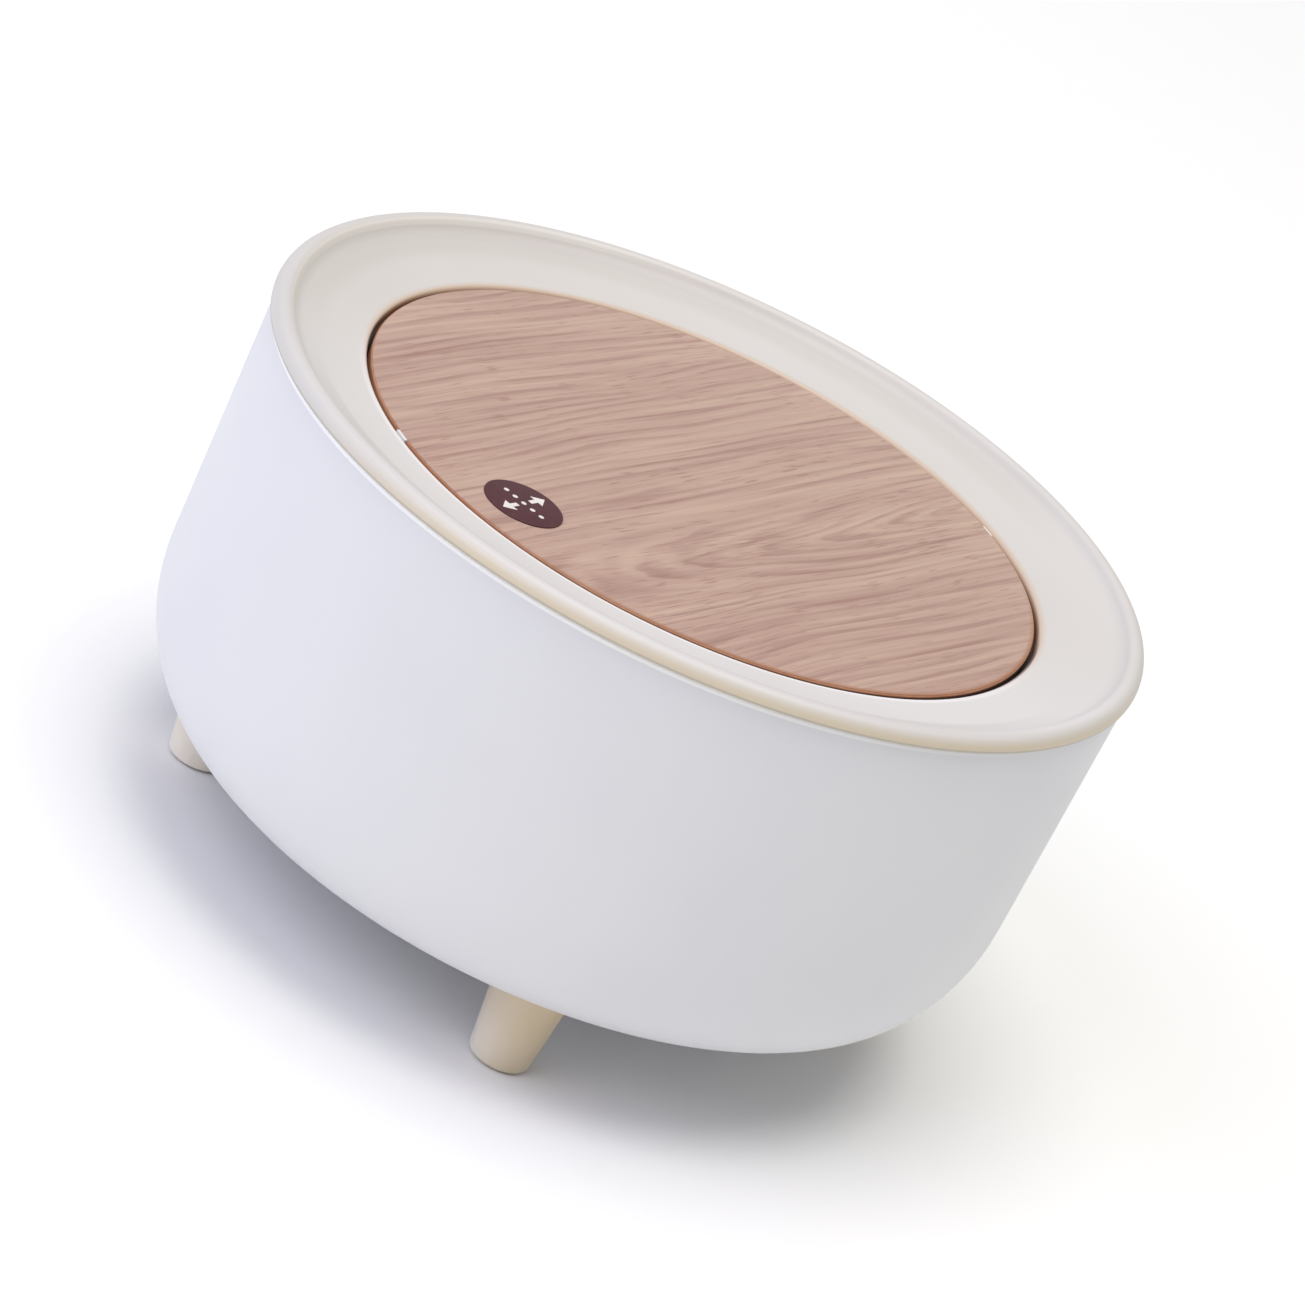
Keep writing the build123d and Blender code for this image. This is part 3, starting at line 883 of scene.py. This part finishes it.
@dataclass
class Bucket:
    """The bin's body: a spun shell with a stepped underside and four sockets for the feet."""

    finish: Plastic
    feet: Sequence[str]
    wall: float = 2.2 * MM
    floor: float = 2.4 * MM
    base_radius: float = 97.8 * MM
    corner_width: float = 17.3 * MM
    corner_height: float = 26.5 * MM
    edge_round: float = 1.0 * MM
    edge_break: float = 0.4 * MM
    step_radius: float = 56.0 * MM
    step_rise: float = 0.5 * MM
    dimple_radius: float = 6.0 * MM
    gate_radius: float = 1.4 * MM
    gate_drop: float = 0.35 * MM
    gate_round: float = 0.2 * MM
    dimple_round: float = 0.3 * MM
    step_round: float = 0.4 * MM
    boss_radius: float = 9.0 * MM
    boss_height: float = 1.6 * MM
    boss_root: float = 0.5 * MM
    socket_radius: float = 8.8 * MM
    socket_depth: float = 1.0 * MM
    screw_hole: float = 2.05 * MM
    hole_sides: int = 32
    corner_steps: int = 20
    turn_steps: int = 256

    def outline(self) -> Profile:
        """Draws the shell's outline.

        Returns:
            Its points, from the axis under the floor round to the axis on it.
        """
        low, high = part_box("body_shell")
        base, mouth, rim = low.z, reach_of("body_shell"), high.z
        taper = (mouth - self.base_radius) / (rim - base)
        corner = self.base_radius + taper * self.corner_height - self.corner_width
        spring = base + self.corner_height
        under = rounded([
            Corner(0, base + self.gate_drop),
            Corner(self.gate_radius, base + self.gate_drop, self.gate_round),
            Corner(self.gate_radius, base + 2 * self.step_rise, self.gate_round),
            Corner(self.dimple_radius, base + 2 * self.step_rise, self.dimple_round),
            Corner(self.dimple_radius + self.step_rise, base + self.step_rise, self.dimple_round),
            Corner(self.step_radius, base + self.step_rise, self.step_round),
            Corner(self.step_radius + 2 * self.step_rise, base, self.step_round),
            Corner(corner, base),
        ], steps=3)
        outer = (self.corner_width, self.corner_height)
        outside = elliptic((corner, spring), outer, -90, 0, self.corner_steps)
        rim_edge = rounded([
            Corner(outside[-1][0], spring),
            Corner(mouth, rim, self.edge_round),
            Corner(mouth - self.wall, rim, self.edge_break),
            Corner(outside[-1][0] - self.wall, spring),
        ], steps=5)
        inner = (self.corner_width - self.wall, self.corner_height - self.floor)
        inside = elliptic((corner, spring), inner, 0, -90, self.corner_steps)
        return under + outside[1:] + rim_edge[1:] + inside[1:] + [(0, base + self.floor)]

    def build(self) -> None:
        """Builds the shell."""
        shell = turned("bucket_shell", self.outline(), self.turn_steps)
        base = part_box("body_shell")[0].z
        floor = base + self.floor
        spots = [middle_of(name) for name in self.feet]
        for spot in spots:
            boss = rod(self.boss_radius, floor - self.boss_root, floor + self.boss_height, spot)
            joined(shell, boss, Join.ADD)
        for spot in spots:
            socket = rod(self.socket_radius, base - self.socket_depth, base + self.socket_depth, spot)
            joined(shell, socket, Join.CUT)
            hole = rod(self.screw_hole, base, floor + 2 * self.boss_height, spot, self.hole_sides)
            joined(shell, hole, Join.CUT)
        hand_over(shell, self.finish.material(), Body.BIN, Slot.BODY_WHITE, "body_shell")


@dataclass
class Foot:
    """A tapered moulded foot with a ribbed rubber sole."""

    node: str
    pad_node: str
    finish: bpy.types.Material
    rubber: bpy.types.Material
    sole_round: float = 0.8 * MM
    inset: float = 1.0 * MM
    groove: float = 0.35 * MM
    groove_round: float = 0.1 * MM
    groove_radii: tuple[float, ...] = (1.6 * MM, 2.9 * MM, 4.2 * MM)
    sole: float = 6.7 * MM
    bore: float = 2.05 * MM
    pad_play: float = 0.1 * MM
    pad_break: float = 0.25 * MM
    turn_steps: int = 96

    def build(self) -> None:
        """Builds the foot and its sole."""
        low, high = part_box(self.node)
        spot = middle_of(self.node)
        top = (high.x - low.x) / 2
        seat = high.z - self.inset
        pad_low, pad_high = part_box(self.pad_node)
        pad = (pad_high.x - pad_low.x) / 2
        outline = rounded([
            Corner(self.bore, pad_high.z),
            Corner(pad + self.pad_play, pad_high.z),
            Corner(pad + self.pad_play, low.z),
            Corner(self.sole, low.z, self.sole_round),
            Corner(top, seat),
            Corner(top, high.z),
            Corner(self.bore, high.z),
            Corner(self.bore, pad_high.z),
        ])
        foot = turned(f"{self.node}_cone", outline, self.turn_steps, spot)
        hand_over(foot, self.finish, Body.BIN, Slot.FOOT_BEIGE, self.node)
        corners = [Corner(0, pad_low.z)]
        for radius in self.groove_radii:
            for step, deep in ((0.0, 0.0), (0.5, 1.0), (1.0, 0.0)):
                place = (radius + step * self.groove, pad_low.z + deep * self.groove)
                corners.append(Corner(*place, self.groove_round))
        corners += [Corner(pad, pad_low.z, self.pad_break), Corner(pad, pad_high.z, self.groove_round)]
        corners.append(Corner(0, pad_high.z))
        sole_pad = turned(f"{self.pad_node}_ribbed", rounded(corners, steps=3), self.turn_steps, spot)
        hand_over(sole_pad, self.rubber, Body.BIN, Slot.SOLE_RUBBER, self.pad_node)


@dataclass
class Collar:
    """The lift-off collar: a rounded bead, a shallow dish round the opening, a skirt and the bearings."""

    material: bpy.types.Material
    opening: float = 76.8 * MM
    opening_drop: float = 6.0 * MM
    lip_round: float = 1.2 * MM
    bead: float = 2.7 * MM
    crown: float = 2.0 * MM
    blend: float = 5.0 * MM
    sag: float = 0.35 * MM
    wall: float = 2.0 * MM
    skirt: float = 96.19 * MM
    skirt_wall: float = 1.8 * MM
    skirt_depth: float = 9.0 * MM
    skirt_lead: float = 0.8 * MM
    pivot_drop: float = 3.0 * MM
    cap_plate: float = 1.8 * MM
    slot: float = 1.85 * MM
    slot_past: float = 0.4 * MM
    rib_reach: float = 2.8 * MM
    rib_rise: float = 1.35 * MM
    rib_sides: Point = (2.6 * MM, 6.6 * MM)
    screw_head: float = 2.2 * MM
    screw_hole: float = 1.15 * MM
    screw_depth: float = 3.85 * MM
    arc_steps: tuple[int, ...] = (16, 8, 8, 10, 12)
    bore_sides: int = 48
    hole_sides: int = 32
    turn_steps: int = 256

    def dish_height(self, radius: float) -> float:
        """The height on the straight line between the dish's two ends.

        Args:
            radius: The distance from the axis.

        Returns:
            The height there.
        """
        low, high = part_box("lid_ring")
        foot = (high.x - low.x) / 2 - self.bead - self.crown
        share = (radius - self.opening) / (foot - self.opening)
        return high.z - self.opening_drop + share * (self.opening_drop - self.crown)

    def outline(self) -> Profile:
        """Draws the collar's section.

        Returns:
            Its points, from the bead's foot over the dish and the lip and back under the skirt.
        """
        low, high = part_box("lid_ring")
        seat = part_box("body_shell")[1].z
        middle = (high.x - low.x) / 2 - self.bead
        mouth = high.z - self.opening_drop
        bead, crown = (middle, high.z - self.bead), (middle, high.z - self.crown)
        foot, lip = (middle - self.crown, crown[1]), (self.opening + self.lip_round, mouth)
        chord = math.dist(foot, lip)
        reach = chord ** 2 / (8 * self.sag) + self.sag / 2
        bowl = meeting(lip, reach, foot, reach)
        hollow = meeting(crown, self.crown + self.blend, bowl, reach - self.blend)
        start = -math.degrees(math.asin((bead[1] - seat) / self.bead))
        turn, slope = heading(hollow, crown), heading(bowl, hollow)
        arcs = (
            (bead, self.bead, start, 90),
            (crown, self.crown, 90, 180 + turn),
            (hollow, self.blend, turn, slope),
            (bowl, reach, slope, heading(bowl, lip)),
            ((lip[0], mouth - self.lip_round), self.lip_round, 90, 180),
        )
        upper: Profile = []
        for (centre, radius, first, last), steps in zip(arcs, self.arc_steps):
            upper = upper[:-1] + elliptic(centre, (radius, radius), first, last, steps)
        tube, skirt = self.opening + self.wall, self.skirt - self.skirt_wall
        hem = seat - self.skirt_depth
        return upper + [
            (self.opening, low.z),
            (tube, low.z),
            (tube, self.dish_height(tube) - self.wall),
            (skirt, self.dish_height(skirt) - self.wall),
            (skirt, hem),
            (self.skirt - self.skirt_lead, hem),
            (self.skirt, hem + self.skirt_lead),
            (self.skirt, seat),
            upper[0],
        ]

    def under(self, name: str, low: float, outer: float) -> Piece:
        """Turns a ring that hangs under the dish, from the opening's tube outwards.

        Args:
            name: Its name.
            low: Its lower face.
            outer: Its outer radius.

        Returns:
            The ring.
        """
        root = self.opening + self.wall / 2
        top = [(radius, self.dish_height(radius) - self.wall / 2) for radius in (outer, root)]
        return turned(name, [(root, low), (outer, low), *top, (root, low)], self.turn_steps)

    def build(self) -> None:
        """Builds the collar with its bearing blocks, stop ribs, pivot slots and screw holes."""
        cap_low, cap_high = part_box("bearing_cap_right")
        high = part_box("lid_ring")[1]
        pivot = high.z - self.opening_drop - self.pivot_drop
        side, reach = cap_high.y, high.x
        collar = turned("dished_collar", self.outline(), self.turn_steps)
        bottom = cap_low.z + self.cap_plate
        blocks = self.under("bearing_blocks", bottom, cap_high.x)
        ribs = self.under("stop_ribs", pivot + self.rib_rise, cap_high.x + self.rib_reach)
        near, far = self.rib_sides
        for ring, half, join in ((blocks, side, Join.KEEP), (ribs, far, Join.KEEP), (ribs, near, Join.CUT)):
            joined(ring, block((-reach, -half, 0), (reach, half, high.z)), join)
        for ring in (blocks, ribs):
            joined(collar, ring, Join.ADD)
        end = cap_high.x + self.slot_past
        clear()
        bpy.ops.mesh.primitive_cylinder_add(
            radius=self.slot, depth=2 * end, vertices=self.bore_sides,
            location=(0, 0, pivot), rotation=(0, math.pi / 2, 0),
        )
        joined(collar, named("bore"), Join.CUT)
        floor = pivot - self.opening_drop - self.pivot_drop
        joined(collar, block((-end, -self.slot, floor), (end, self.slot, pivot)), Join.CUT)
        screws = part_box("bearing_cap_screws")[1]
        across, deep = screws.x - self.screw_head, screws.y - self.screw_head
        for spot in ((across, deep), (across, -deep), (-across, deep), (-across, -deep)):
            hole = rod(self.screw_hole, cap_low.z, bottom + self.screw_depth, spot, self.hole_sides)
            joined(collar, hole, Join.CUT)
        hand_over(collar, self.material, Body.LID, Slot.RING_CREAM, "lid_ring")


@dataclass
class SwingPanel:
    """The flap's board with its wood film."""

    film: WoodPrint
    edge: BoardEdge
    bevel: float = 0.3 * MM
    lower_round: float = 0.15 * MM
    film_round: float = 0.12 * MM
    notch_width: float = 4.4 * MM
    notch_reach: float = 70.5 * MM

    def build(self) -> None:
        """Builds the board and the film on it."""
        low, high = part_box("panel_board")
        radius = reach_of("panel_board")
        board = disc("wood_board", radius, (low.z, high.z), (self.lower_round, self.bevel), arc_steps=5)
        half, past = self.notch_width / 2, 2 * self.bevel
        for inner, outer in ((self.notch_reach, radius + past), (-radius - past, -self.notch_reach)):
            notch = block((inner, -half, low.z - past), (outer, half, high.z + past))
            joined(board, notch, Join.CUT)
        hand_over(board, self.edge.material(), Body.FLAP, Slot.BOARD_BROWN, "panel_board")
        low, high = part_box("panel_grain_face")
        face = disc("wood_film", reach_of("panel_grain_face"), (low.z, high.z), (0.0, self.film_round))
        hand_over(face, self.film.material(), Body.FLAP, Slot.GRAIN_FACE, "panel_grain_face")


@dataclass
class RoundLabel:
    """The dark round label near the flap's edge, with two plain arrows and a row of dots."""

    film: Film
    ink: Film
    axis_turn: float = 23.0
    ink_thickness: float = 0.03 * MM
    head_length: float = 2.8 * MM
    head_width: float = 3.6 * MM
    shaft_width: float = 1.1 * MM
    shaft_start: float = 2.0 * MM
    shaft_length: float = 2.1 * MM
    dot_radius: float = 0.6 * MM
    dot_pitch: float = 2.5 * MM
    dot_count: int = 5
    dot_steps: int = 32
    edge_round: float = 0.1 * MM
    turn_steps: int = 96

    def arrow(self, spot: Vector, turn: float) -> Piece:
        """Models an arrow: a triangle whose base is split in three, with a shaft drawn out of the middle.

        Args:
            spot: The label's middle, at the height of its face.
            turn: The direction that the arrow points to, in degrees.

        Returns:
            The arrow, as a thin solid.
        """
        clear()
        bpy.ops.mesh.primitive_circle_add(vertices=3, radius=1, fill_type="NGON")
        arrow = named("arrow")
        corners = [v.co for v in arrow.data.vertices]
        width = max(c.x for c in corners) - min(c.x for c in corners)
        length = max(c.y for c in corners) - min(c.y for c in corners)
        base = min(c.y for c in corners) * self.head_length / length
        choose_edges(arrow, lambda edge: True)
        size = (self.head_width / width, self.head_length / length, 1)
        bpy.ops.transform.resize(value=size, center_override=(0, 0, 0))
        bpy.ops.transform.translate(value=(0, self.shaft_start + self.shaft_length - base, 0))
        foot = self.shaft_start + self.shaft_length + MERGE
        choose_edges(arrow, lambda edge: all(v.co.y < foot for v in edge.verts))
        bpy.ops.mesh.subdivide(number_cuts=2)
        third = self.head_width / 6 + MERGE
        choose_edges(arrow, lambda edge: all(abs(v.co.x) < third and v.co.y < foot for v in edge.verts))
        narrow = (3 * self.shaft_width / self.head_width, 1, 1)
        bpy.ops.transform.resize(value=narrow, center_override=(0, 0, 0))
        bpy.ops.mesh.extrude_region_move(TRANSFORM_OT_translate={"value": (0, -self.shaft_length, 0)})
        bpy.ops.mesh.select_all(action="SELECT")
        bpy.ops.mesh.extrude_region_move(TRANSFORM_OT_translate={"value": (0, 0, self.ink_thickness)})
        bpy.ops.mesh.select_all(action="SELECT")
        bpy.ops.mesh.normals_make_consistent(inside=False)
        bpy.ops.object.mode_set(mode="OBJECT")
        take(arrow)
        arrow.rotation_euler.z = math.radians(turn) - math.pi / 2
        arrow.location = spot
        bpy.ops.object.transform_apply(location=True, rotation=True, scale=True)
        return arrow

    def dots(self, spot: Vector) -> list[Piece]:
        """Models the row of dots across the label.

        Args:
            spot: The label's middle, at the height of its face.

        Returns:
            The dots.
        """
        cross = math.radians(self.axis_turn - 90)
        heights, rounds = (spot.z, spot.z + self.ink_thickness), (0.0, self.ink_thickness / 2)
        dots = []
        for number in range(self.dot_count):
            reach = (number - (self.dot_count - 1) / 2) * self.dot_pitch
            place = (spot.x + reach * math.cos(cross), spot.y + reach * math.sin(cross))
            dot = disc(
                f"dot_{number}", self.dot_radius, heights, rounds, self.dot_steps, place, arc_steps=3
            )
            dots.append(dot)
        return dots

    def build(self) -> None:
        """Builds the label and its print."""
        low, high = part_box("flap_label")
        spot = middle_of("flap_label")
        radius = (high.x - low.x) / 2
        label = disc("round_label", radius, (low.z, high.z), (0.0, self.edge_round), self.turn_steps, spot)
        hand_over(label, self.film.material(), Body.FLAP, Slot.LABEL_PLUM, "flap_label")
        face = Vector((spot.x, spot.y, high.z))
        marks = [self.arrow(face, self.axis_turn), self.arrow(face, self.axis_turn + 180)] + self.dots(face)
        clear()
        for mark in marks:
            mark.select_set(True)
        bpy.context.view_layer.objects.active = marks[0]
        bpy.ops.object.join()
        printed = named("label_print")
        hand_over(printed, self.ink.material(), Body.FLAP, None)


@dataclass(frozen=True)
class Softbox:
    """A large lamp: where it hangs, seen from the rim, and what it gives."""

    name: str
    bearing: float
    elevation: float
    power: float
    colour: Point3
    distance: float = 3.4
    size: float = 2.6

    def hang(self, aim: Vector) -> Piece:
        """Hangs the lamp.

        Args:
            aim: The point that it faces.

        Returns:
            The lamp.
        """
        light = bpy.data.lights.new(self.name, "AREA")
        light.shape, light.size = "DISK", self.size
        light.energy, light.color = self.power, self.colour
        lamp = bpy.data.objects.new(self.name, light)
        bpy.context.scene.collection.objects.link(lamp)
        turn, rise = math.radians(self.bearing), math.radians(self.elevation)
        away = Vector((math.cos(rise) * math.cos(turn), math.cos(rise) * math.sin(turn), math.sin(rise)))
        lamp.location = aim + away * self.distance
        lamp.rotation_mode = "QUATERNION"
        lamp.rotation_quaternion = away.to_track_quat("Z", "Y")
        return lamp


@dataclass
class Studio:
    """A pale floor, soft light and the photograph's point of view."""

    lamps: Sequence[Softbox]
    floor_size: float = 14.0
    floor_colour: Colour = (250, 250, 250)
    floor_roughness: float = 0.9
    sky_strength: float = 0.34
    sky_colour: tuple[float, float, float, float] = (1.0, 1.0, 1.0, 1.0)
    view_turn: float = 39.1
    view_rise: float = 24.36
    view_roll: float = 26.44
    view_width: float = 15.0
    distance: float = 1036.8 * MM
    aim_right: float = 5.4 * MM
    aim_down: float = 42.3 * MM

    def rim(self) -> Vector:
        """The middle of the rim's top."""
        low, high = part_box("lid_ring")
        return Vector(((low.x + high.x) / 2, (low.y + high.y) / 2, high.z))

    def lay_floor(self) -> None:
        """Lays the floor."""
        clear()
        bpy.ops.mesh.primitive_plane_add(size=self.floor_size)
        floor = named("floor")
        graph = Graph("pale_floor")
        graph.surface(Base_Color=linear(self.floor_colour), Roughness=self.floor_roughness)
        graph.surface(Specular_IOR_Level=0.0)
        coat(floor, graph.material)

    def light_up(self) -> None:
        """Sets the sky's glow and hangs the lamps."""
        world = bpy.data.worlds.new("studio")
        world.use_nodes = True
        glow = world.node_tree.nodes["Background"]
        glow.inputs["Color"].default_value = self.sky_colour
        glow.inputs["Strength"].default_value = self.sky_strength
        bpy.context.scene.world = world
        for lamp in self.lamps:
            lamp.hang(self.rim())

    def place_camera(self) -> None:
        """Places the camera where the photograph was taken from."""
        turn, rise, roll = (math.radians(a) for a in (self.view_turn, self.view_rise, self.view_roll))
        right = Vector((math.cos(turn), -math.sin(turn), 0))
        ahead = Vector((math.cos(rise) * math.sin(turn), math.cos(rise) * math.cos(turn), -math.sin(rise)))
        up = right.cross(ahead)
        aim = self.rim() + right * self.aim_right - up * self.aim_down
        across = right * math.cos(roll) + up * math.sin(roll)
        upward = up * math.cos(roll) - right * math.sin(roll)
        lens = bpy.data.cameras.new("camera")
        lens.sensor_fit = "HORIZONTAL"
        lens.angle = math.radians(self.view_width)
        camera = bpy.data.objects.new("camera", lens)
        bpy.context.scene.collection.objects.link(camera)
        axes = Matrix((across, upward, -ahead)).transposed().to_4x4()
        camera.matrix_world = Matrix.Translation(aim - ahead * self.distance) @ axes
        bpy.context.scene.camera = camera

    def build(self) -> None:
        """Builds the studio."""
        self.lay_floor()
        self.light_up()
        self.place_camera()
        bpy.context.scene.view_settings.view_transform = "Standard"
        log.info("studio: %d lamps", len(self.lamps))


def cream_plastic() -> Plastic:
    """Makes the collar's plastic, with painted light and shade: painted highlights and shade on the dish,
    the bead and the near lip, a painted shadow at the seam under the bead, and a painted reflection of the
    wood with painted shadow in the opening.

    Returns:
        The plastic.
    """
    lip, lip_low = 70, 101.6
    return Plastic("cream_collar", (211, 207, 202), (213, 209, 205), roughness=0.45, painted_light=(
        # The next six zones are painted light and shade on the dish and the bead: lighter on the near side,
        # darker in the far dish and the crease before the bead, and a painted highlight on the far bead's
        # crown.
        PaintedLight((221, 218, 217), 78, 97, facing=231, side=(-20, 60), edge=2),
        PaintedLight((206, 201, 196), 90, 92, facing=75, side=(0, 60), edge=5),
        PaintedLight((203, 198, 194), 92, 94.6, facing=65, side=(30, 85), edge=1),
        PaintedLight((224, 220, 214), 95.2, 96, facing=120, side=(45, 85), edge=0.5),
        PaintedLight((209, 206, 204), 90, 94.5, facing=231, side=(20, 70), edge=1.5),
        PaintedLight((211, 207, 205), 96.4, 98, facing=212, side=(0, 50), edge=0.5),
        # Painted shade: the bead's lower side is warm tan on one side.
        PaintedLight((219, 206, 182), 98.2, 110, facing=255, side=(20, 75), top=110.1, fade=1.9),
        # Painted shadow: a dark band at the seam under the bead, all round.
        PaintedLight((188, 179, 162), 99, 110, top=107.8, fade=0.4),
        # Painted reflection of the wood, with painted shade, on the far wall of the opening.
        PaintedLight((205, 176, 148), lip, 76.4, facing=51, bottom=lip_low, edge=2.7),
        # Painted shade: the opening's wall is dark brown where the gap lies in shadow at one end.
        PaintedLight((140, 108, 86), lip, 76.9, facing=231, side=(-45, -5), bottom=lip_low, edge=0.5),
        # Painted shadow: the opening's wall is near black deep in the gap, at both ends.
        PaintedLight((80, 56, 42), lip, 77.25, facing=302, side=(70, 75.5), bottom=lip_low, edge=0.4),
        PaintedLight((80, 56, 42), lip, 76.9, facing=155, side=(72, 76), bottom=lip_low, edge=0.4),
        # Painted highlight on the near lip of the opening.
        PaintedLight((238, 233, 233), 77, 78.2, facing=231, side=(0, 55), edge=1),
    ))


def main() -> None:
    """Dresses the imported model, models the pieces and sets the studio up."""
    logging.basicConfig(level=logging.INFO, format="%(name)s: %(message)s")
    white = Plastic("white_shell", (226, 226, 229), (229, 229, 231), speck_share=0.35, painted_light=(
        # Painted highlight: the body's rounded rim is lighter on one side, just under the bead.
        PaintedLight((255, 255, 255), 97, 100, facing=180, side=(-50, 60), bottom=105.5, fade=0.5),
    ))
    beige = Plastic("beige_foot", (224, 210, 190), (228, 214, 194), roughness=0.38, painted_light=(
        # Painted light: the foot is lighter towards its lower end.
        PaintedLight((252, 243, 228), 0, 110, top=16, fade=15),
        # Painted shade: one side of the foot is darker and tanner.
        PaintedLight((208, 188, 152), 0, 110, facing=290, side=(43, 62)),
    )).material()
    flap_white = Plastic("flap_white", (229, 229, 227), (233, 233, 231), roughness=0.4).material()
    cream = cream_plastic().material()
    plated = Steel("plated_screws", (196, 196, 192), (150, 148, 140)).material()
    raw = Steel("weight_bar", (150, 150, 152), (104, 98, 92), roughness=0.45).material()
    sole = Rubber("sole_rubber", (196, 190, 180), (170, 165, 158)).material()
    seal = Rubber("seal_rubber", (70, 70, 72), (120, 118, 114)).material()
    plum = Film("plum_label", (80, 47, 52), (88, 54, 58), specular=0.2)
    ink = Film("pale_ink", (228, 221, 217), (236, 230, 226))

    feet = [f"foot_{number}" for number in range(1, 5)]
    Bucket(white, feet).build()
    for name in feet:
        Foot(name, name.replace("foot", "foot_pad"), beige, sole).build()
    Collar(cream).build()
    dress(["bearing_cap_left", "bearing_cap_right"], cream)
    dress(["flap_carrier", "weight_cover"], flap_white)
    screws = ["foot_screws", "bearing_cap_screws", "panel_screws", "weight_cover_screws"]
    dress(screws, plated)
    dress(["foot_washers"], seal)
    dress(["counterweight"], raw)
    SwingPanel(WoodPrint(), BoardEdge()).build()
    RoundLabel(plum, ink).build()

    Studio([
        Softbox(
            "overhead", bearing=0, elevation=89, power=97, colour=(1, 0.98, 0.92), distance=3.6, size=3.2
        ),
        Softbox("key", bearing=-174, elevation=42, power=41, colour=(0.87, 0.84, 1)),
        Softbox("cool_side", bearing=141, elevation=15, power=16, colour=(0.27, 0.51, 1)),
    ]).build()


if __name__ == "__main__":
    main()
